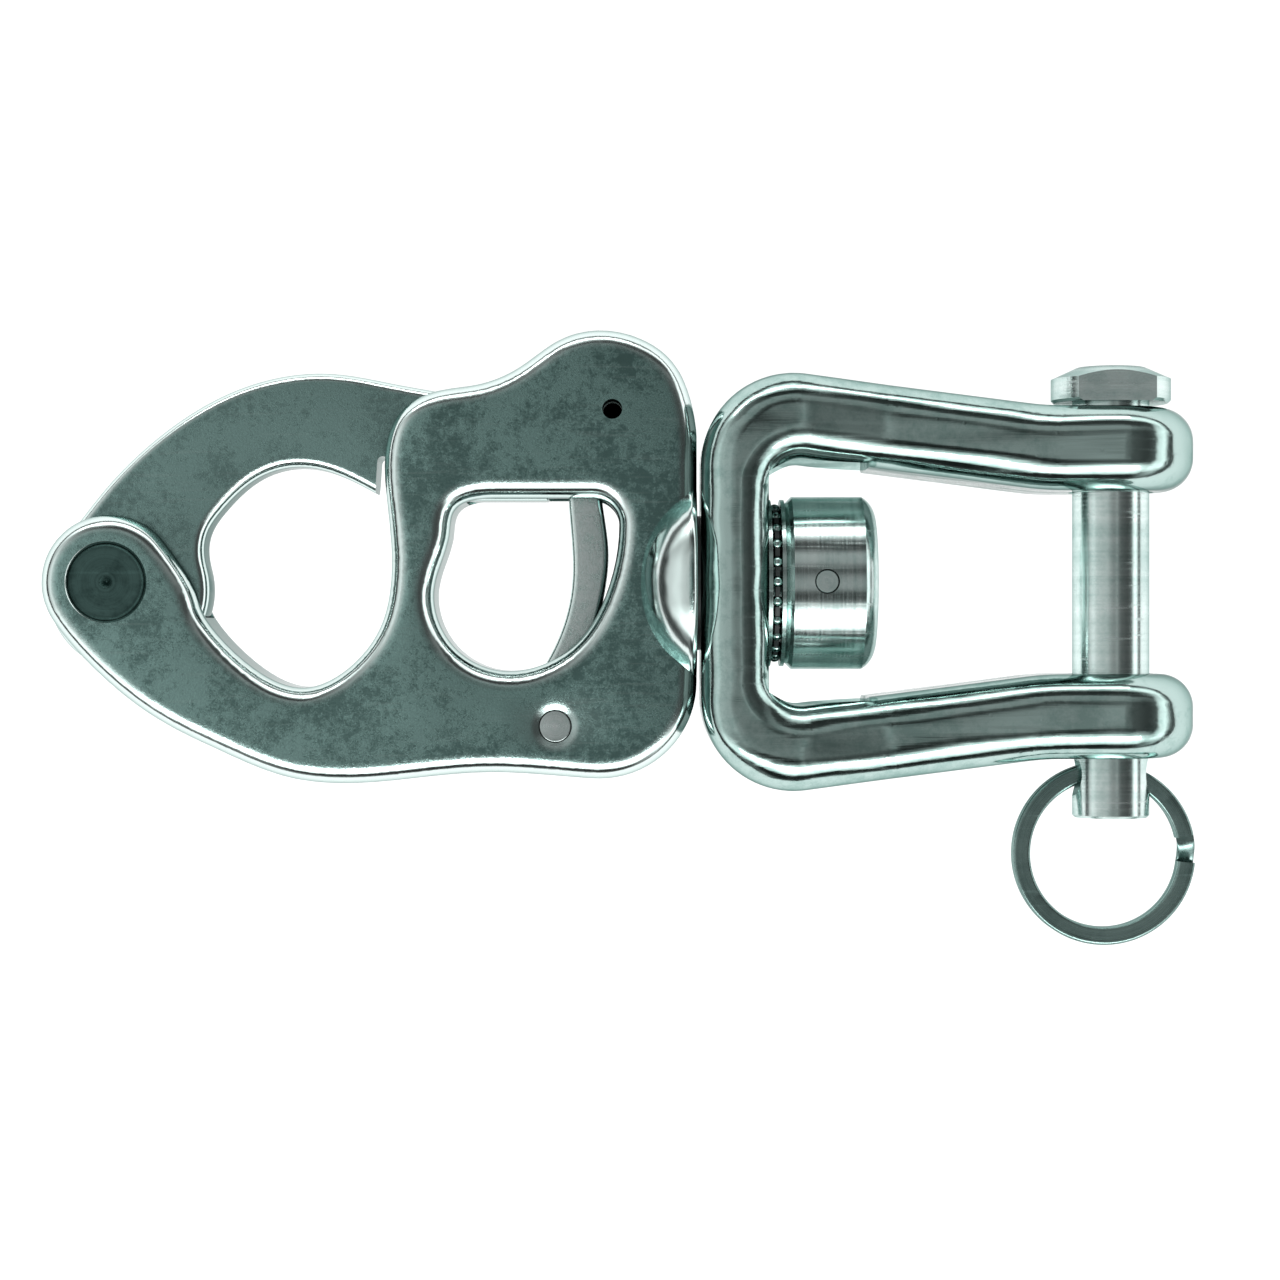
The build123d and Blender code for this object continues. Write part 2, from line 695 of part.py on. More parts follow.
# ---------------------------------------------------------------- split ring
# Two flat coils of one wire, joined by a short step.
coil_z = (ring_coil + ring_coil_gap) / 2
coil_turn = 360.0 - ring_jog_angle
ring_axis = Axis((ring_side, ring_y, 0), (0, 0, 1))
with BuildPart() as split_ring:
    for side in (1, -1):
        with BuildSketch(Plane(
            origin=(ring_side, ring_y, 0),
            x_dir=(cos(radians(ring_jog_at)), sin(radians(ring_jog_at)), 0),
            z_dir=(sin(radians(ring_jog_at)), -cos(radians(ring_jog_at)), 0),
        )):
            with Locations((ring_mean, side * coil_z)):
                RectangleRounded(ring_width, ring_coil, ring_edge)
        revolve(axis=ring_axis, revolution_arc=coil_turn)
    with BuildLine() as jog:
        first = radians(ring_jog_at)
        last = radians(ring_jog_at - ring_jog_angle)
        Spline(
            (ring_side + ring_mean * cos(first), ring_y + ring_mean * sin(first), coil_z),
            (ring_side + ring_mean * cos(last), ring_y + ring_mean * sin(last), -coil_z),
            tangents=((sin(first), -cos(first), 0), (sin(last), -cos(last), 0)),
        )
    with BuildSketch(Plane(origin=jog.line @ 0, x_dir=(cos(first), sin(first), 0), z_dir=jog.line % 0)):
        RectangleRounded(ring_width, ring_coil, ring_edge)
    sweep(path=jog.line, normal=(0, 0, 1))
split_ring.part.label = "split_ring"
export_step(split_ring.part, "parts/split_ring.step")
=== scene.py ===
# %% [markdown]
# # A snap shackle in polished and tumbled stainless steel
# The shackle opens by a trigger behind its finger hole, and turns on a small ball bearing inside its
# clevis. The frame below is the engineering model: its places and sizes are fixed, and every piece
# made here is laid over it. Lengths are in metres, so sizes are written as a number times mm. +Z
# points out of the upper cheek.

# %% Load the frame
import json
import math

import bmesh
import bpy
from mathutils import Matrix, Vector


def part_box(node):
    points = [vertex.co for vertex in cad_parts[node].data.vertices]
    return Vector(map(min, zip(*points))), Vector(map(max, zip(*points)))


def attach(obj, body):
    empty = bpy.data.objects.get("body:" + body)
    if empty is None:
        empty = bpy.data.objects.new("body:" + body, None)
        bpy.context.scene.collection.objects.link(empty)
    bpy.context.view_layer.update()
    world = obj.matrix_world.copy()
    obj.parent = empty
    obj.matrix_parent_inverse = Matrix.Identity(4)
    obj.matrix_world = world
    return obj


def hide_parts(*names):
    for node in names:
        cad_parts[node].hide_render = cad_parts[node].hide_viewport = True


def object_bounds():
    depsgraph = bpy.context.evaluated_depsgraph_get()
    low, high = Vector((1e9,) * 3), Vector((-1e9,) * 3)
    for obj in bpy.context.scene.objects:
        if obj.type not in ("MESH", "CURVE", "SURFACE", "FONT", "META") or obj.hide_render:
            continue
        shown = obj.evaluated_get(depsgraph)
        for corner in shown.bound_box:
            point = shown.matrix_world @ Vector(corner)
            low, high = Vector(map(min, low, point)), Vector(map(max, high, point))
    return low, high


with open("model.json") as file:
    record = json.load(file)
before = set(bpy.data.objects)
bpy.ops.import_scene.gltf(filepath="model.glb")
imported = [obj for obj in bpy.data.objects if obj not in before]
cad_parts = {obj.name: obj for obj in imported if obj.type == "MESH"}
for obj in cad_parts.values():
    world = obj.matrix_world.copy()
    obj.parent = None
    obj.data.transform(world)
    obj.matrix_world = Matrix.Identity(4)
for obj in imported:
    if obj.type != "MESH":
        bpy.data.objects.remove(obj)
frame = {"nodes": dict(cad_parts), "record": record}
cad_low, cad_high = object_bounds()
mm = 0.001
body_of_node = {}
for body_name, members in frame["record"]["behaviour"]["bodies"].items():
    for member in members:
        body_of_node[member] = body_name
cad_size = [round(side / mm, 1) for side in cad_high - cad_low]
print("nodes:", len(frame["nodes"]), "size mm:", cad_size)

# %% [markdown]
# ## Main places
# Each finish below has to know where the axes are: the hinge and trigger pins stand along Z, the nut
# turns about X and the clevis pin about Y. They are read from the frame's own boxes and mounts, so a
# changed model keeps its finishes in place.

# %% Axes of the turned pieces


def middle(node):
    """The centre of a node's box."""
    low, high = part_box(node)
    return (low + high) / 2


hinge_centre = middle("hinge_pin")
trigger_pivot = middle("trigger_pin")
nut_centre = middle("swivel_nut")
pin_centre = Vector((0, middle("clevis_pin").y, 0))
ring_centre = middle("split_ring")
lock_mount = [mount for mount in frame["record"]["mounts"] if mount["name"] == "lock_hole"][0]
lock_axis = Vector(lock_mount["pos_m"])
hub_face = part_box("hub_washer")[0].x
print("hinge", hinge_centre, "ring", ring_centre)

# %% [markdown]
# ## Smooth shells over the frame
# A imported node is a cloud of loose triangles, which shades as flat facets. Polished steel shows
# every facet, so each piece is a welded copy: the triangles are joined at their corners, edges that
# turn by more than 30 degrees stay sharp, and the rest shades as one smooth surface. Modelling the
# pieces again by hand would also work, but would lose the fit of the frame.

# %% A welded copy of a node
weld_reach = 0.002 * mm


def welded(node, sharp_degrees=30.0):
    """A welded, smooth-shaded copy of a node, riding on the node's own body."""
    mesh = frame["nodes"][node].data.copy()
    mesh.name = node + "_shell"
    shell = bmesh.new()
    shell.from_mesh(mesh)
    bmesh.ops.remove_doubles(shell, verts=shell.verts, dist=weld_reach)
    bmesh.ops.dissolve_degenerate(shell, edges=shell.edges, dist=weld_reach / 2)
    shell.to_mesh(mesh)
    shell.free()
    names = [layer.name for layer in mesh.attributes]
    for name in [each for each in names if each in ("custom_normal", "sharp_face")]:
        mesh.attributes.remove(mesh.attributes[name])
    mesh.shade_smooth()
    mesh.set_sharp_from_angle(angle=math.radians(sharp_degrees))
    piece = bpy.data.objects.new(node + "_shell", mesh)
    bpy.context.scene.collection.objects.link(piece)
    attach(piece, body_of_node[node])
    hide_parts(node)
    return piece


print("corners are joined within mm:", round(weld_reach / mm, 4))

# %% Weld the pieces
shells = {}
for node in (
    "body", "jaw", "hinge_pin", "trigger", "trigger_pin", "clevis", "clevis_pin", "swivel_nut",
    "nut_dowel", "hub_washer", "swivel_bush", "lower_race", "upper_race", "ball_cage",
    "split_ring",
):
    shells[node] = welded(node)
print("welded:", {name: len(piece.data.polygons) for name, piece in shells.items()})

# %% [markdown]
# ## Ring of balls
# The balls of the bearing are all alike and evenly spaced, so one ball is instanced on a circle of
# points about the swivel axis. The count, the two radii and the middle are the tree's inputs. The
# radii and the middle are read from the frame further down, once the ball's steel is ready.

# %% Inputs of the tree
ball_tree = bpy.data.node_groups.new("ring of balls", "GeometryNodeTree")
for label, kind in (
    ("Count", "NodeSocketInt"), ("Ball Radius", "NodeSocketFloat"),
    ("Pitch Radius", "NodeSocketFloat"), ("Middle", "NodeSocketVector"),
    ("Finish", "NodeSocketMaterial"),
):
    ball_tree.interface.new_socket(label, in_out="INPUT", socket_type=kind)
ball_tree.interface.new_socket("Geometry", in_out="OUTPUT", socket_type="NodeSocketGeometry")
entry = ball_tree.nodes.new("NodeGroupInput")
leave = ball_tree.nodes.new("NodeGroupOutput")
print("inputs:", [item.name for item in ball_tree.interface.items_tree if item.in_out == "INPUT"])

# %% One ball on each point of a circle
circle = ball_tree.nodes.new("GeometryNodeMeshCircle")
ball_tree.links.new(entry.outputs["Count"], circle.inputs["Vertices"])
ball_tree.links.new(entry.outputs["Pitch Radius"], circle.inputs["Radius"])
upright = ball_tree.nodes.new("GeometryNodeTransform")
upright.inputs["Rotation"].default_value = (0.0, math.pi / 2, 0.0)
ball_tree.links.new(circle.outputs["Mesh"], upright.inputs["Geometry"])
ball_tree.links.new(entry.outputs["Middle"], upright.inputs["Translation"])
ball = ball_tree.nodes.new("GeometryNodeMeshUVSphere")
ball_segments = 24
ball.inputs["Segments"].default_value = ball_segments
ball.inputs["Rings"].default_value = ball_segments // 2
ball_tree.links.new(entry.outputs["Ball Radius"], ball.inputs["Radius"])
spread = ball_tree.nodes.new("GeometryNodeInstanceOnPoints")
ball_tree.links.new(upright.outputs["Geometry"], spread.inputs["Points"])
ball_tree.links.new(ball.outputs["Mesh"], spread.inputs["Instance"])
print("a ball has", ball_segments, "segments")

# %% Real, smooth and coated balls
solid = ball_tree.nodes.new("GeometryNodeRealizeInstances")
ball_tree.links.new(spread.outputs["Instances"], solid.inputs["Geometry"])
rounded = ball_tree.nodes.new("GeometryNodeSetShadeSmooth")
ball_tree.links.new(solid.outputs["Geometry"], rounded.inputs["Geometry"])
coated = ball_tree.nodes.new("GeometryNodeSetMaterial")
ball_tree.links.new(rounded.outputs["Geometry"], coated.inputs["Geometry"])
ball_tree.links.new(entry.outputs["Finish"], coated.inputs["Material"])
ball_tree.links.new(coated.outputs["Geometry"], leave.inputs["Geometry"])
print("tree:", ball_tree.name, "with", len(ball_tree.nodes), "nodes")

# %% [markdown]
# ## Shared effects
# Five effects come back in more than one metal, so each is a node group with its own inputs: the
# cloudy mottling of tumbled steel, the fine scratches of handling, the streaks of a buffing wheel,
# the shade in a small hole, and the rings of a turned surface. The groups only put out masks and
# heights. The shader stays in each material.

# %% Helpers: a new group, and a node in it


def new_group(name, inputs, outputs):
    """An empty shader group. Inputs are (name, kind, default); outputs are names of floats."""
    group = bpy.data.node_groups.new(name, "ShaderNodeTree")
    for label, kind, value in inputs:
        socket = group.interface.new_socket(label, in_out="INPUT", socket_type=kind)
        socket.default_value = value
    for label in outputs:
        group.interface.new_socket(label, in_out="OUTPUT", socket_type="NodeSocketFloat")
    entry = group.nodes.new("NodeGroupInput")
    leave = group.nodes.new("NodeGroupOutput")
    return group, entry, leave


def add(tree, kind, **settings):
    """A new node with its properties and input defaults set."""
    node = tree.nodes.new(kind)
    for key, value in settings.items():
        if hasattr(node, key):
            setattr(node, key, value)
        else:
            node.inputs[key.replace("_", " ")].default_value = value
    return node


print("helpers: new_group, add")

# %% Helpers: sums and ranges


def calc(tree, operation, first, second=None, clamp=False):
    """A Math node; each operand is a socket or a number."""
    node = tree.nodes.new("ShaderNodeMath")
    node.operation = operation
    node.use_clamp = clamp
    for index, operand in enumerate((first, second)):
        if operand is None:
            continue
        if isinstance(operand, (int, float)):
            node.inputs[index].default_value = operand
        else:
            tree.links.new(operand, node.inputs[index])
    return node.outputs[0]


def remap(tree, value, low, high, to_low=0.0, to_high=1.0):
    """A clamped Map Range node."""
    node = tree.nodes.new("ShaderNodeMapRange")
    node.inputs["From Min"].default_value = low
    node.inputs["From Max"].default_value = high
    node.inputs["To Min"].default_value = to_low
    node.inputs["To Max"].default_value = to_high
    tree.links.new(value, node.inputs["Value"])
    return node.outputs["Result"]


print("helpers: calc, remap")

# %% [markdown]
# ## Mottling
# Tumbling in stone leaves steel cloudy, in patches a few millimetres wide with a finer grain over
# them. Three noises of falling size make it: a slow one gathers the clouds into patches, and the
# finest is put out by itself for the bump. Size is the clouds' noise scale, per metre.

# %% Mottling of tumbled steel
mottle, entry, leave = new_group(
    "tumbled mottle",
    [("Vector", "NodeSocketVector", (0, 0, 0)), ("Size", "NodeSocketFloat", 220.0)],
    ["Clouds", "Grain"],
)
slow = add(mottle, "ShaderNodeTexNoise", Detail=3.0, Roughness=0.55)
mottle.links.new(entry.outputs["Vector"], slow.inputs["Vector"])
mottle.links.new(calc(mottle, "MULTIPLY", entry.outputs["Size"], 0.11), slow.inputs["Scale"])
clouds = add(mottle, "ShaderNodeTexNoise", Detail=6.0, Roughness=0.72)
mottle.links.new(entry.outputs["Vector"], clouds.inputs["Vector"])
mottle.links.new(entry.outputs["Size"], clouds.inputs["Scale"])
patches = calc(mottle, "MULTIPLY", slow.outputs["Fac"], 0.9)
gathered = calc(mottle, "ADD", clouds.outputs["Fac"], patches)
mottle.links.new(remap(mottle, gathered, 0.80, 1.02), leave.inputs["Clouds"])
grain = add(mottle, "ShaderNodeTexNoise", Detail=4.0, Roughness=0.7)
mottle.links.new(entry.outputs["Vector"], grain.inputs["Vector"])
mottle.links.new(calc(mottle, "MULTIPLY", entry.outputs["Size"], 4.0), grain.inputs["Scale"])
mottle.links.new(remap(mottle, grain.outputs["Fac"], 0.3, 0.7), leave.inputs["Grain"])
print("group:", mottle.name)

# %% [markdown]
# ## Scratches
# A shackle that has been handled carries hairlines that cross at all angles. Each direction is a
# noise stretched along one line, of which only the highest crests are kept. Three directions are
# enough for the eye to stop seeing an order.

# %% Fine scratches
scratches, entry, leave = new_group(
    "handling scratches",
    [("Vector", "NodeSocketVector", (0, 0, 0)), ("Density", "NodeSocketFloat", 900.0)],
    ["Lines"],
)
total = None
for turn, stretch in ((0.35, 0.035), (1.25, 0.03), (2.3, 0.04)):
    placed = add(scratches, "ShaderNodeMapping")
    placed.inputs["Rotation"].default_value = (0.2 * turn, 0.1, turn)
    placed.inputs["Scale"].default_value = (stretch, 1.0, 0.3)
    scratches.links.new(entry.outputs["Vector"], placed.inputs["Vector"])
    lines = add(scratches, "ShaderNodeTexNoise", Detail=1.0, Roughness=0.4)
    scratches.links.new(placed.outputs["Vector"], lines.inputs["Vector"])
    scratches.links.new(entry.outputs["Density"], lines.inputs["Scale"])
    mask = remap(scratches, lines.outputs["Fac"], 0.66, 0.76)
    total = mask if total is None else calc(scratches, "MAXIMUM", total, mask)
scratches.links.new(total, leave.inputs["Lines"])
print("group:", scratches.name)

# %% [markdown]
# ## Buffing streaks
# A buffing wheel is drawn along the strap, so its marks run along X. One noise, stretched that way,
# gives the height of the marks.

# %% Streaks left by a buffing wheel
streaks, entry, leave = new_group(
    "buffing streaks",
    [("Vector", "NodeSocketVector", (0, 0, 0)), ("Density", "NodeSocketFloat", 800.0)],
    ["Height"],
)
drawn = add(streaks, "ShaderNodeMapping")
drawn.inputs["Scale"].default_value = (0.05, 1.0, 1.0)
streaks.links.new(entry.outputs["Vector"], drawn.inputs["Vector"])
lines = add(streaks, "ShaderNodeTexNoise", Detail=4.0, Roughness=0.6, Distortion=0.3)
streaks.links.new(drawn.outputs["Vector"], lines.inputs["Vector"])
streaks.links.new(entry.outputs["Density"], lines.inputs["Scale"])
streaks.links.new(remap(streaks, lines.outputs["Fac"], 0.25, 0.75), leave.inputs["Height"])
print("group:", streaks.name)

# %% [markdown]
# ## Locking hole
# A small blind hole in the upper cheek looks black, because hardly any light comes back out of it.
# The hole is a part of the body's own mesh, so its shade is a mask: everything within the hole's
# radius of its axis. The mask has no depth, so the same black disc falls on the underside too, where
# there is no hole. A test of the height along Z would keep it off there.

# %% Shade inside the locking hole
hole_shade_radius = 2.05 * mm
hole_shade, entry, leave = new_group(
    "locking hole shade",
    [("Vector", "NodeSocketVector", (0, 0, 0)), ("Radius", "NodeSocketFloat", hole_shade_radius)],
    ["Inside"],
)
offset = add(hole_shade, "ShaderNodeVectorMath", operation="SUBTRACT")
offset.inputs[1].default_value = lock_axis
hole_shade.links.new(entry.outputs["Vector"], offset.inputs[0])
flat = add(hole_shade, "ShaderNodeVectorMath", operation="MULTIPLY")
flat.inputs[1].default_value = (1.0, 1.0, 0.0)
hole_shade.links.new(offset.outputs["Vector"], flat.inputs[0])
span = add(hole_shade, "ShaderNodeVectorMath", operation="LENGTH")
hole_shade.links.new(flat.outputs["Vector"], span.inputs[0])
inside = calc(hole_shade, "LESS_THAN", span.outputs["Value"], entry.outputs["Radius"])
hole_shade.links.new(inside, leave.inputs["Inside"])
print("group:", hole_shade.name)

# %% [markdown]
# ## Turned rings
# A lathe leaves fine rings round the axis. Their noise is read from only two numbers, the place
# along the axis and the distance from it, so the pattern is the same all the way round.

# %% Turned rings
turned, entry, leave = new_group(
    "turned rings",
    [("Along", "NodeSocketFloat", 0.0), ("Radius", "NodeSocketFloat", 0.0),
     ("Density", "NodeSocketFloat", 5000.0)],
    ["Rings", "Broad"],
)
joined = add(turned, "ShaderNodeCombineXYZ")
turned.links.new(entry.outputs["Along"], joined.inputs["X"])
turned.links.new(entry.outputs["Radius"], joined.inputs["Y"])
rings = add(turned, "ShaderNodeTexNoise", Detail=3.0, Roughness=0.6)
turned.links.new(joined.outputs["Vector"], rings.inputs["Vector"])
turned.links.new(entry.outputs["Density"], rings.inputs["Scale"])
turned.links.new(remap(turned, rings.outputs["Fac"], 0.3, 0.7), leave.inputs["Rings"])
broad = add(turned, "ShaderNodeTexNoise", Detail=2.0, Roughness=0.5)
turned.links.new(joined.outputs["Vector"], broad.inputs["Vector"])
turned.links.new(calc(turned, "MULTIPLY", entry.outputs["Density"], 0.12), broad.inputs["Scale"])
turned.links.new(remap(turned, broad.outputs["Fac"], 0.35, 0.65), leave.inputs["Broad"])
print("group:", turned.name)

# %% [markdown]
# ## Steel finishes
# All the steel is one alloy, so its real finishes differ in how rough they are and in what marks they
# carry. Forged faces are tumbled and cloudy while their rounded edges are buffed and carry a painted
# highlight, the clevis is buffed all over, and the pins and the nut keep the rings of the lathe. The
# colours are set to look right from straight above under this light, so they also carry painted light
# and shade: some pieces are made paler or darker than one alloy would be.

# %% Shades of steel
steel_dark = (0.15, 0.235, 0.222, 1.0)
steel_mid = (0.34, 0.465, 0.44, 1.0)
steel_pale = (0.60, 0.73, 0.70, 1.0)
edge_glance = (0.42, 0.50, 0.485, 1.0)
print("steel from", steel_dark[:3], "to", steel_pale[:3])

# %% Helper: a metal to start from


def new_metal(name):
    """A material with a metallic Principled shader, its object coordinates and their parts."""
    material = bpy.data.materials.new(name)
    material.use_nodes = True
    tree = material.node_tree
    shader = tree.nodes["Principled BSDF"]
    shader.inputs["Metallic"].default_value = 1.0
    shader.inputs["Specular Tint"].default_value = edge_glance
    coords = tree.nodes.new("ShaderNodeTexCoord")
    return material, tree, shader, coords


print("helper: new_metal")

# %% Helpers: mixed colours, bumps and placed groups


def blend(tree, factor, first, second):
    """A colour mix; each end is a colour or a socket."""
    node = tree.nodes.new("ShaderNodeMix")
    node.data_type = "RGBA"
    tree.links.new(factor, node.inputs["Factor"])
    for socket, end in (("A", first), ("B", second)):
        target = [s for s in node.inputs if s.name == socket and s.type == "RGBA"][0]
        if isinstance(end, tuple):
            target.default_value = end
        else:
            tree.links.new(end, target)
    return [s for s in node.outputs if s.type == "RGBA"][0]


def bump(tree, shader, height, strength, distance):
    """A Bump node into the shader's normal."""
    node = tree.nodes.new("ShaderNodeBump")
    node.inputs["Strength"].default_value = strength
    node.inputs["Distance"].default_value = distance
    tree.links.new(height, node.inputs["Height"])
    tree.links.new(node.outputs["Normal"], shader.inputs["Normal"])
    return node


def use(tree, group, **links):
    """Places a group and feeds its inputs with sockets or numbers."""
    node = tree.nodes.new("ShaderNodeGroup")
    node.node_tree = group
    for label, source in links.items():
        if isinstance(source, (int, float)):
            node.inputs[label].default_value = source
        else:
            tree.links.new(source, node.inputs[label])
    return node


print("helpers: blend, bump, use")

# %% [markdown]
# ## Forged steel
# The body, jaw and trigger are forged, tumbled and then buffed along their edges. The direction a
# surface faces, read from its object-space normal, tells these apart: faces square to Z are cloudy,
# roundings are smoother and carry a painted highlight, and upright walls carry a painted shade. The
# body also grows darker towards its hub, whose turned ring is left out of the painted wall shade.

# %% Forged steel: cloudy faces, buffed edges
# Painted light: the roundings get a near-white colour as a painted highlight, and the upright walls
# get a dark one as painted shade.
painted_edge_highlight = (0.78, 0.88, 0.86, 1.0)
painted_wall_shade = (0.10, 0.155, 0.148, 1.0)
hole_black = (0.006, 0.009, 0.009, 1.0)
shade_from, shade_to = -150.0 * mm, -90.0 * mm
hub_edge = hub_face - 0.5 * mm


def forged_steel(name, size, face_rough, dark, pale, edge_rough=0.12, hub_shade=0.0):
    """Tumbled faces, buffed roundings with a painted highlight, upright walls with painted shade."""
    material, tree, shader, coords = new_metal(name)
    marks = use(tree, mottle, Vector=coords.outputs["Object"], Size=size)
    lines = use(tree, scratches, Vector=coords.outputs["Object"], Density=1500.0)
    hole = use(tree, hole_shade, Vector=coords.outputs["Object"])
    parts = add(tree, "ShaderNodeSeparateXYZ")
    tree.links.new(coords.outputs["Normal"], parts.inputs["Vector"])
    facing = calc(tree, "ABSOLUTE", parts.outputs["Z"])
    face = remap(tree, facing, 0.90, 0.998)
    wall = remap(tree, facing, 0.22, 0.06)
    places = add(tree, "ShaderNodeSeparateXYZ")
    tree.links.new(coords.outputs["Object"], places.inputs["Vector"])
    shade = remap(tree, places.outputs["X"], shade_from, shade_to, 0.0, hub_shade)
    turned_hub = calc(tree, "GREATER_THAN", places.outputs["X"], hub_edge)
    wall = calc(tree, "SUBTRACT", wall, turned_hub, clamp=True)
    grainy = calc(tree, "MULTIPLY", marks.outputs["Grain"], 0.35)
    cloudy = calc(tree, "ADD", calc(tree, "MULTIPLY", marks.outputs["Clouds"], 0.65), grainy)
    cloudy = calc(tree, "SUBTRACT", cloudy, shade, clamp=True)
    tumbled = blend(tree, cloudy, dark, pale)
    scratch = calc(tree, "MULTIPLY", lines.outputs["Lines"], 0.12)
    scratched = blend(tree, scratch, tumbled, steel_pale)
    # Painted highlight: the roundings take a near-white colour. Painted shade: the upright walls take
    # a dark one.
    rounded = blend(tree, face, painted_edge_highlight, scratched)
    wall_shaded = blend(tree, wall, rounded, painted_wall_shade)
    shaded = blend(tree, hole.outputs["Inside"], wall_shaded, hole_black)
    tree.links.new(shaded, shader.inputs["Base Color"])
    rough_face = remap(tree, cloudy, 0.0, 1.0, face_rough + 0.05, face_rough - 0.05)
    gap = calc(tree, "SUBTRACT", rough_face, edge_rough)
    rough = calc(tree, "ADD", calc(tree, "MULTIPLY", gap, face), edge_rough)
    tree.links.new(calc(tree, "MAXIMUM", rough, hole.outputs["Inside"]), shader.inputs["Roughness"])
    height = calc(tree, "MULTIPLY", calc(tree, "ADD", marks.outputs["Grain"], cloudy), face)
    bump(tree, shader, height, 0.3, 0.05 * mm)
    return material


print("hub's turned edge at mm:", round(hub_edge / mm, 2))

# %% Steel of the body, the jaw and the trigger
body_steel = forged_steel(
    "tumbled_body_steel", size=620.0, face_rough=0.27,
    dark=(0.135, 0.23, 0.217, 1.0), pale=(0.43, 0.67, 0.63, 1.0), hub_shade=0.40,
)
jaw_steel = forged_steel(
    "tumbled_jaw_steel", size=700.0, face_rough=0.27,
    dark=(0.19, 0.30, 0.285, 1.0), pale=(0.39, 0.60, 0.565, 1.0),
)
# The trigger's pale colour is painted light: it is the same forged steel as the body, made paler for
# the bright face seen through the finger hole.
trigger_steel = forged_steel(
    "pale_painted_trigger_steel", size=500.0, face_rough=0.26,
    dark=(0.62, 0.80, 0.76, 1.0), pale=(0.92, 1.0, 0.99, 1.0), edge_rough=0.2,
)
print("forged steels:", [steel.name for steel in (body_steel, jaw_steel, trigger_steel)])

# %% [markdown]
# ## Buffed steel
# The clevis is nearly a mirror, but no buffed strap is quite flat: slow waves bend what it reflects,
# and fine streaks and small pits lie over them. So two Bump nodes are chained, a coarse one of over
# a millimetre and a fine one. The balls of the bearing get the same finish, a little duller.

# %% Buffed steel of the clevis
buffed_dark, buffed_pale = (0.37, 0.52, 0.49, 1.0), (0.64, 0.78, 0.75, 1.0)
# Painted shade for the upright walls of the strap.
painted_strap_shade = (0.17, 0.225, 0.215, 1.0)


def buffed_steel(name, rough):
    """A near mirror with buffing streaks, faint clouds, small pits and hairline scratches."""
    material, tree, shader, coords = new_metal(name)
    marks = use(tree, mottle, Vector=coords.outputs["Object"], Size=260.0)
    lines = use(tree, scratches, Vector=coords.outputs["Object"], Density=900.0)
    drawn = use(tree, streaks, Vector=coords.outputs["Object"], Density=620.0)
    parts = add(tree, "ShaderNodeSeparateXYZ")
    tree.links.new(coords.outputs["Normal"], parts.inputs["Vector"])
    wall = remap(tree, calc(tree, "ABSOLUTE", parts.outputs["Z"]), 0.42, 0.10)
    tone = calc(tree, "MULTIPLY", marks.outputs["Clouds"], 0.5)
    buffed = blend(tree, tone, buffed_dark, buffed_pale)
    # Painted shade: upright walls of the strap take a dark colour.
    tree.links.new(blend(tree, wall, buffed, painted_strap_shade), shader.inputs["Base Color"])
    pits = add(tree, "ShaderNodeTexVoronoi", Scale=260.0)
    tree.links.new(coords.outputs["Object"], pits.inputs["Vector"])
    pit = remap(tree, pits.outputs["Distance"], 0.05, 0.11)
    clouds = remap(tree, marks.outputs["Clouds"], 0.0, 1.0, rough, rough + 0.06)
    marked = calc(tree, "MULTIPLY", lines.outputs["Lines"], 0.10)
    tree.links.new(calc(tree, "ADD", clouds, marked), shader.inputs["Roughness"])
    relief = calc(tree, "ADD", calc(tree, "MULTIPLY", pit, 0.5), drawn.outputs["Height"])
    fine = bump(tree, shader, relief, 0.22, 0.06 * mm)
    stretched = add(tree, "ShaderNodeMapping")
    stretched.inputs["Scale"].default_value = (0.3, 1.0, 1.0)
    tree.links.new(coords.outputs["Object"], stretched.inputs["Vector"])
    waves = add(tree, "ShaderNodeTexNoise", Scale=95.0, Detail=1.0, Roughness=0.4)
    tree.links.new(stretched.outputs["Vector"], waves.inputs["Vector"])
    wavy = add(tree, "ShaderNodeBump", Strength=0.6, Distance=1.6 * mm)
    tree.links.new(waves.outputs["Fac"], wavy.inputs["Height"])
    tree.links.new(wavy.outputs["Normal"], fine.inputs["Normal"])
    return material


clevis_steel = buffed_steel("buffed_clevis_steel", rough=0.05)
ball_steel = buffed_steel("bearing_ball_steel", rough=0.08)
print("buffed steels:", clevis_steel.name, ball_steel.name)

# %% [markdown]
# ## Turned steel
# The pins, the nut, its dowel, the races, the split ring and the spring are turned or drawn round an
# axis. One helper makes them all, from the axis and a point on it. A rim paints a dark line of shade
# outside a radius, where a rivet's head meets its dimple or a dowel its hole.

# %% Turned steel
painted_gap_shade = (0.012, 0.02, 0.019, 1.0)
rim_fade = 0.2 * mm


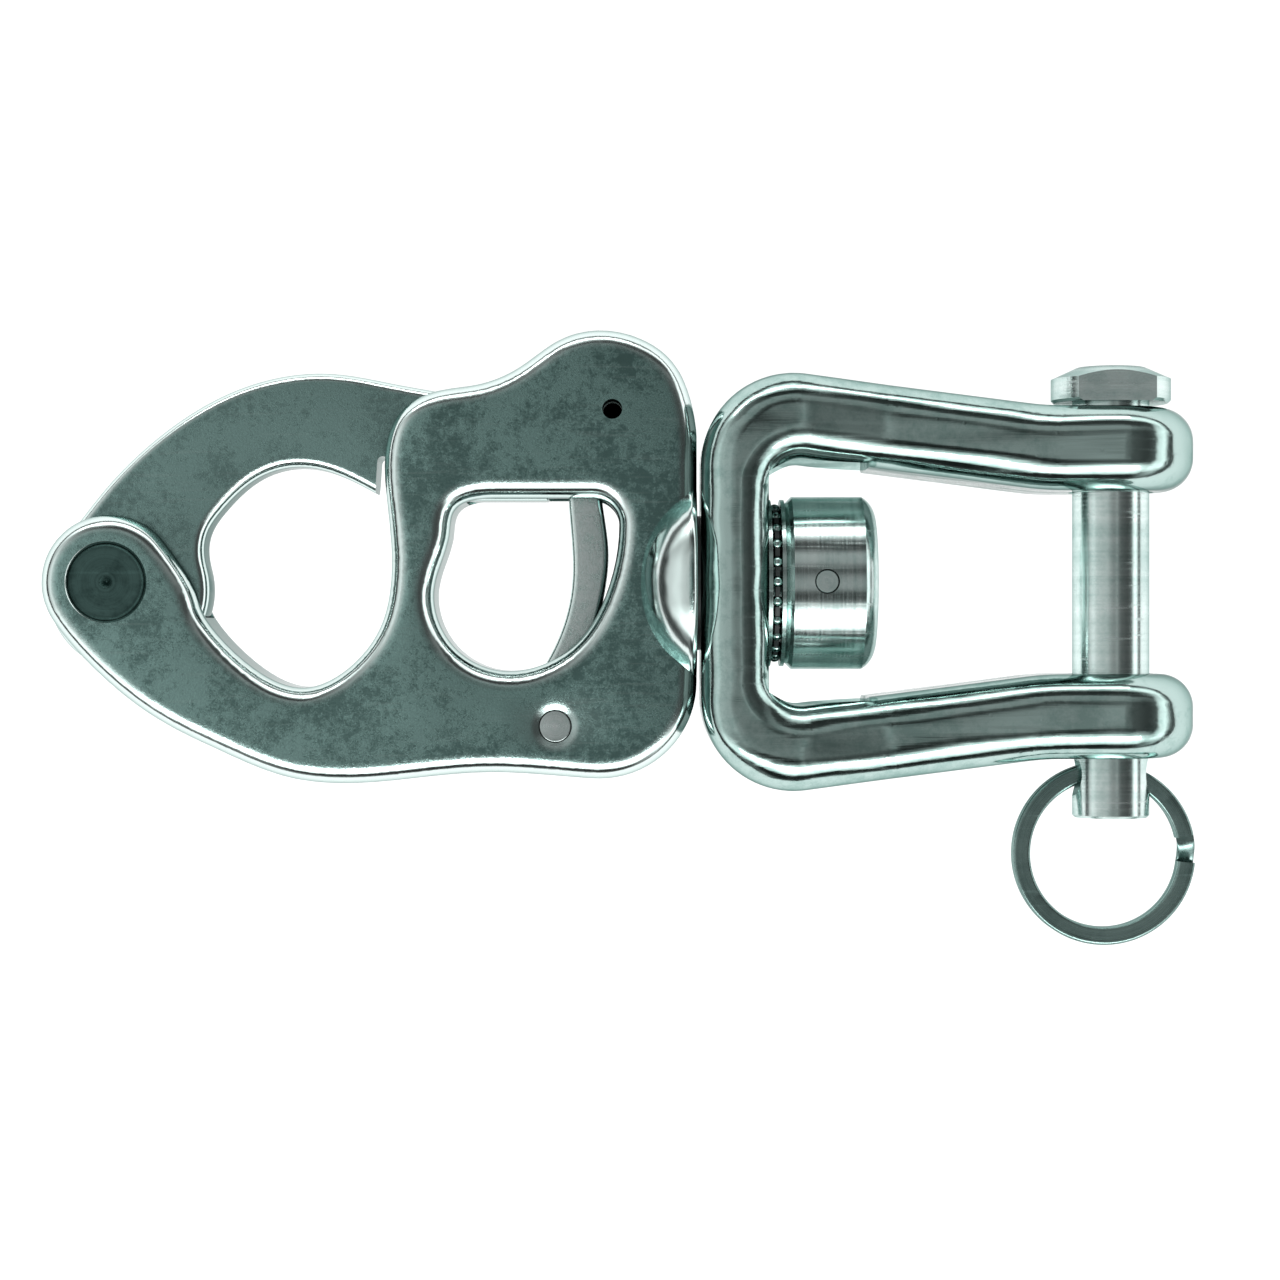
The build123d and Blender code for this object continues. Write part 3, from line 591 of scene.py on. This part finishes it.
def turned_steel(name, axis, centre, dark, pale, rough, density=5200.0, rim=1.0):
    """Rings about the X, Y or Z axis through a point, with painted shade outside radius rim."""
    material, tree, shader, coords = new_metal(name)
    placed = add(tree, "ShaderNodeVectorMath", operation="SUBTRACT")
    placed.inputs[1].default_value = centre
    tree.links.new(coords.outputs["Object"], placed.inputs[0])
    parts = add(tree, "ShaderNodeSeparateXYZ")
    tree.links.new(placed.outputs["Vector"], parts.inputs["Vector"])
    across = [parts.outputs[letter] for letter in "XYZ" if letter != axis]
    squares = [calc(tree, "MULTIPLY", side, side) for side in across]
    radius = calc(tree, "SQRT", calc(tree, "ADD", *squares))
    marks = use(tree, turned, Along=parts.outputs[axis], Radius=radius, Density=density)
    clouds = use(tree, mottle, Vector=coords.outputs["Object"], Size=260.0)
    lines = use(tree, scratches, Vector=coords.outputs["Object"], Density=900.0)
    tone = calc(tree, "MULTIPLY", marks.outputs["Broad"], 0.45)
    for mask, strength in ((clouds.outputs["Clouds"], 0.35), (marks.outputs["Rings"], 0.2)):
        tone = calc(tree, "ADD", tone, calc(tree, "MULTIPLY", mask, strength), clamp=True)
    # Painted shade: a near-black line outside the rim stands in for the shade in the gap round it.
    line = remap(tree, radius, rim - rim_fade, rim)
    lined = blend(tree, line, blend(tree, tone, dark, pale), painted_gap_shade)
    tree.links.new(lined, shader.inputs["Base Color"])
    ringed = remap(tree, marks.outputs["Rings"], 0.0, 1.0, rough - 0.04, rough + 0.06)
    marked = calc(tree, "MULTIPLY", lines.outputs["Lines"], 0.12)
    tree.links.new(calc(tree, "ADD", ringed, marked), shader.inputs["Roughness"])
    bump(tree, shader, marks.outputs["Rings"], 0.22, 0.03 * mm)
    return material


print("a rim fades over mm:", round(rim_fade / mm, 2))

# %% Steel of the two rivets
# Both rivets are the same steel: the hinge pin's near-black colour is painted shade, and the trigger
# pin's near-white colour is painted light.
hinge_steel = turned_steel(
    "hinge_pin_steel", "Z", hinge_centre,
    dark=(0.018, 0.040, 0.037, 1.0), pale=(0.12, 0.21, 0.195, 1.0), rough=0.38, density=2600.0,
)
rivet_steel = turned_steel(
    "trigger_pin_steel", "Z", trigger_pivot,
    dark=(0.66, 0.80, 0.77, 1.0), pale=(0.95, 1.0, 1.0, 1.0), rough=0.2, density=4200.0,
    rim=3.2 * mm,
)
print("rivets:", hinge_steel.name, rivet_steel.name)

# %% Steel of the pin, the nut and its dowel
bright_low, bright_high = (0.52, 0.68, 0.65, 1.0), (0.88, 0.98, 0.96, 1.0)
nut_steel = turned_steel("nut_steel", "X", nut_centre, bright_low, bright_high, rough=0.15)
dowel_steel = turned_steel(
    "dowel_steel", "Z", middle("nut_dowel"), bright_low, bright_high, rough=0.2, rim=2.35 * mm
)
pin_steel = turned_steel(
    "clevis_pin_steel", "Y", pin_centre, bright_low, bright_high, rough=0.17, density=2600.0
)
print("bright steels:", nut_steel.name, dowel_steel.name, pin_steel.name)

# %% Steel of the races, the split ring and the spring
race_steel = turned_steel("race_steel", "X", nut_centre, steel_mid, steel_pale, rough=0.22)
ring_steel = turned_steel(
    "split_ring_steel", "Z", ring_centre, steel_dark, steel_mid, rough=0.24, density=3000.0
)
spring_steel = turned_steel(
    "spring_steel", "X", middle("trigger_spring"), steel_mid, steel_pale, rough=0.25
)
print("plain steels:", race_steel.name, ring_steel.name, spring_steel.name)

# %% [markdown]
# ## Bearing plastic
# The washer, the bush and the ball cage are moulded in a dark bearing plastic, so that steel never
# rubs on steel. It is dull, with a fine moulded grain.

# %% Dark moulded plastic
bearing_plastic = bpy.data.materials.new("bearing_plastic")
bearing_plastic.use_nodes = True
tree = bearing_plastic.node_tree
shader = tree.nodes["Principled BSDF"]
coords = tree.nodes.new("ShaderNodeTexCoord")
grains = use(tree, mottle, Vector=coords.outputs["Object"], Size=700.0)
plastic_dark, plastic_pale = (0.018, 0.022, 0.022, 1.0), (0.035, 0.042, 0.041, 1.0)
dull = blend(tree, grains.outputs["Clouds"], plastic_dark, plastic_pale)
tree.links.new(dull, shader.inputs["Base Color"])
tree.links.new(remap(tree, grains.outputs["Grain"], 0, 1, 0.45, 0.6), shader.inputs["Roughness"])
bump(tree, shader, grains.outputs["Grain"], 0.2, 0.03 * mm)
print("plastic:", bearing_plastic.name)

# %% [markdown]
# ## The balls
# The tree of balls now gets its sizes. Its inputs are set by the sockets' identifiers, the result is
# taken out as a plain mesh, and the object that carried the tree is removed. The balls ride with
# their cage, which follows the clevis at half its turn.

# %% Sizes of the balls
ball_count = 24
low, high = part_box("bearing_balls")
ball_radius = (high.x - low.x) / 2
pitch_radius = (high.z - low.z) / 2 - ball_radius
print("ball radius mm:", round(ball_radius / mm, 2))

# %% Make the balls
holder = bpy.data.objects.new("ball_holder", bpy.data.meshes.new("ball_holder"))
bpy.context.scene.collection.objects.link(holder)
modifier = holder.modifiers.new("balls", "NODES")
modifier.node_group = ball_tree
sockets = [item for item in ball_tree.interface.items_tree if item.in_out == "INPUT"]
keys = {item.name: item.identifier for item in sockets}
modifier[keys["Count"]] = ball_count
modifier[keys["Ball Radius"]] = ball_radius
modifier[keys["Pitch Radius"]] = pitch_radius
modifier[keys["Middle"]] = tuple((low + high) / 2)
modifier[keys["Finish"]] = ball_steel
depsgraph = bpy.context.evaluated_depsgraph_get()
ball_mesh = bpy.data.meshes.new_from_object(holder.evaluated_get(depsgraph))
bpy.data.objects.remove(holder)
balls = bpy.data.objects.new("bearing_ball_ring", ball_mesh)
bpy.context.scene.collection.objects.link(balls)
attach(balls, body_of_node["bearing_balls"])
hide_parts("bearing_balls")
print("balls:", len(ball_mesh.vertices), "vertices, pitch radius mm:", round(pitch_radius / mm, 2))

# %% [markdown]
# ## Finishes on the pieces
# Each shell takes the finish of its own piece. The trigger's spring is hidden in the body, and stays
# the frame's own node with a steel on it. It rides on the body and doesn't shorten as the trigger is
# pulled, so the trigger runs into it there.

# %% Give each piece its finish
finish_of = {
    "body": body_steel, "jaw": jaw_steel, "hinge_pin": hinge_steel, "trigger": trigger_steel,
    "trigger_pin": rivet_steel, "clevis": clevis_steel, "clevis_pin": pin_steel,
    "swivel_nut": nut_steel, "nut_dowel": dowel_steel, "hub_washer": bearing_plastic,
    "swivel_bush": bearing_plastic, "ball_cage": bearing_plastic, "lower_race": race_steel,
    "upper_race": race_steel, "split_ring": ring_steel,
}
for node, piece in shells.items():
    piece.data.materials.clear()
    piece.data.materials.append(finish_of[node])
print("finished:", len(finish_of), "shells")

# %% Finish the spring
spring_node = frame["nodes"]["trigger_spring"]
spring_node.data.materials.clear()
spring_node.data.materials.append(spring_steel)
print("finished:", spring_node.name)

# %% [markdown]
# ## Floor
# The floor is pale paper. It lies just below the circle that the clevis and its ring sweep as they
# swivel, so that they never reach it, and the part hovers over it. Nearly all its brightness is its
# own glow, which keeps it evenly pale and leaves no shadow to be seen under the part.

# %% Floor
reach = 12.0
swing = max(abs(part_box("split_ring")[0].y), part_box("clevis_pin")[1].y)
floor_z = -swing - 1.0 * mm
corners = [(-reach, -reach), (reach, -reach), (reach, reach), (-reach, reach)]
floor_mesh = bpy.data.meshes.new("floor")
floor_mesh.from_pydata([(x, y, floor_z) for x, y in corners], [], [(0, 1, 2, 3)])
floor = bpy.data.objects.new("floor", floor_mesh)
bpy.context.scene.collection.objects.link(floor)
print("floor at mm:", round(floor_z / mm, 2))

# %% Paper of the floor
paper = bpy.data.materials.new("pale_paper")
paper.use_nodes = True
shader = paper.node_tree.nodes["Principled BSDF"]
for label, value in (
    ("Base Color", (0.30, 0.30, 0.30, 1.0)), ("Roughness", 0.9), ("Specular IOR Level", 0.1),
    ("Emission Color", (1.0, 1.0, 1.0, 1.0)), ("Emission Strength", 0.93),
):
    shader.inputs[label].default_value = value
floor_mesh.materials.append(paper)
print("paper:", paper.name)

# %% [markdown]
# ## Surroundings
# Polished metal shows what stands round it, so the surroundings are a tent with dark and bright
# bands. Their places were found by trial, to put the reflections where a viewer from above expects
# them. Two sets of bands are mixed: one runs from the keel side over the top to the crest
# side, for surfaces that lean along Y, and one from the hook to the clevis, for those that lean along
# X. A noise bends the bands a little, so that no reflection has a ruled edge.

# %% Helper: a ramp of bands


def band_ramp(tree, angle, bands):
    """A grey ramp over an angle from -180 to 180 degrees. Bands are (degrees, brightness)."""
    place = remap(tree, angle, -math.pi, math.pi)
    ramp = tree.nodes.new("ShaderNodeValToRGB")
    ramp.color_ramp.interpolation = "EASE"
    brightest = max(level for _, level in bands)
    stops = ramp.color_ramp.elements
    while len(stops) > 1:
        stops.remove(stops[-1])
    for index, (degrees, level) in enumerate(bands):
        position = (degrees + 180) / 360
        stop = stops[0] if index == 0 else stops.new(position)
        stop.position = position
        stop.color = (level / brightest,) * 3 + (1.0,)
    tree.links.new(place, ramp.inputs["Fac"])
    return calc(tree, "MULTIPLY", ramp.outputs["Color"], brightest)


print("helper: band_ramp")

# %% Directions in the tent
world = bpy.data.worlds.new("light_tent")
bpy.context.scene.world = world
world.use_nodes = True
tree = world.node_tree
background = tree.nodes["Background"]
direction = tree.nodes.new("ShaderNodeTexCoord")
parts = tree.nodes.new("ShaderNodeSeparateXYZ")
tree.links.new(direction.outputs["Generated"], parts.inputs["Vector"])
waver = add(tree, "ShaderNodeTexNoise", Scale=2.2, Detail=2.0, Roughness=0.5)
tree.links.new(direction.outputs["Generated"], waver.inputs["Vector"])
drift = calc(tree, "MULTIPLY", calc(tree, "SUBTRACT", waver.outputs["Fac"], 0.5), 0.35)
along = calc(tree, "ADD", calc(tree, "ARCTAN2", parts.outputs["X"], parts.outputs["Z"]), drift)
across = calc(tree, "ADD", calc(tree, "ARCTAN2", parts.outputs["Y"], parts.outputs["Z"]), drift)
print("world:", world.name)

# %% Bands of the tent
keel_to_crest = band_ramp(tree, across, [
    (-180, 0.02), (-96, 0.03), (-91, 0.30), (-86, 0.10), (-80, 0.02), (-70, 0.02), (-65, 1.4),
    (-56, 2.6), (-44, 2.6), (-35, 1.2), (-29, 0.20), (-22, 0.02), (-14, 0.04), (-8, 0.26),
    (0, 0.30), (6, 0.20), (12, 0.05), (19, 0.10), (28, 0.34), (38, 0.38), (45, 0.05), (57, 0.03),
    (62, 0.6), (69, 1.9), (77, 1.5), (82, 0.15), (88, 0.10), (96, 0.02), (180, 0.02),
])
hook_to_clevis = band_ramp(tree, along, [
    (-180, 0.02), (-96, 0.04), (-80, 0.04), (-73, 0.7), (-62, 0.9), (-48, 0.6), (-30, 0.52),
    (-16, 0.52), (-6, 0.34), (2, 0.22), (7, 0.30), (11, 0.42), (16, 0.2), (24, 0.10), (40, 0.06),
    (56, 0.10), (64, 1.3), (76, 1.6), (84, 0.08), (96, 0.03), (180, 0.02),
])
print("both ramps ready")

# %% Mix the two sets of bands
tent_tint = (0.96, 1.0, 0.99)
sideways = calc(tree, "ABSOLUTE", parts.outputs["X"])
total = calc(tree, "ADD", sideways, calc(tree, "ABSOLUTE", parts.outputs["Y"]))
total = calc(tree, "ADD", total, 0.001)
share = remap(tree, calc(tree, "DIVIDE", sideways, total), 0.25, 0.75)
kept = calc(tree, "MULTIPLY", keel_to_crest, calc(tree, "SUBTRACT", 1.0, share))
level = calc(tree, "ADD", kept, calc(tree, "MULTIPLY", hook_to_clevis, share))
tinted = add(tree, "ShaderNodeVectorMath", operation="SCALE")
tinted.inputs[0].default_value = tent_tint
tree.links.new(level, tinted.inputs["Scale"])
tree.links.new(tinted.outputs["Vector"], background.inputs["Color"])
print("tent tint:", tent_tint)

# %% [markdown]
# ## Soft boxes
# Two long soft boxes add the highlights that the bands alone leave too flat: a strong one on the keel
# side, and a weak low one on the crest side.

# %% Helper: a soft box


def soft_box(name, place, size, power, aim):
    """An oblong area light that looks at a point. Lengths are in metres, power in watts."""
    light = bpy.data.lights.new(name, "AREA")
    light.shape = "RECTANGLE"
    light.size = size[0]
    light.size_y = size[1]
    light.energy = power
    lamp = bpy.data.objects.new(name, light)
    lamp.location = place
    lamp.rotation_euler = (Vector(aim) - Vector(place)).to_track_quat("-Z", "Y").to_euler()
    bpy.context.scene.collection.objects.link(lamp)
    return lamp


print("helper: soft_box")

# %% Place the soft boxes
centre = (cad_low + cad_high) / 2
soft_box("keel_light", (centre.x, centre.y - 1.0, 0.95), (1.8, 0.3), 8.0, centre)
soft_box("crest_light", (centre.x - 0.2, centre.y + 1.2, 0.42), (1.4, 0.12), 2.5, centre)
print("soft boxes aim at", centre)

# %% [markdown]
# ## Camera
# The camera looks straight down on the upper cheek, from far enough for the part to look almost
# undistorted. Its picture is shown plainly, without a film look.

# %% Camera
camera_place = (-98.4 * mm, -11.9 * mm, 620.0 * mm)
camera_lens, camera_sensor = 83.4, 36.0
camera_data = bpy.data.cameras.new("camera")
camera = bpy.data.objects.new("camera", camera_data)
camera.location = camera_place
camera.rotation_euler = (0.0, 0.0, 0.0)
camera_data.sensor_width = camera_sensor
camera_data.lens = camera_lens
camera_data.clip_start = 0.01
bpy.context.scene.collection.objects.link(camera)
bpy.context.scene.camera = camera
bpy.context.scene.view_settings.view_transform = "Standard"
print("camera height mm:", round(camera.location.z / mm))
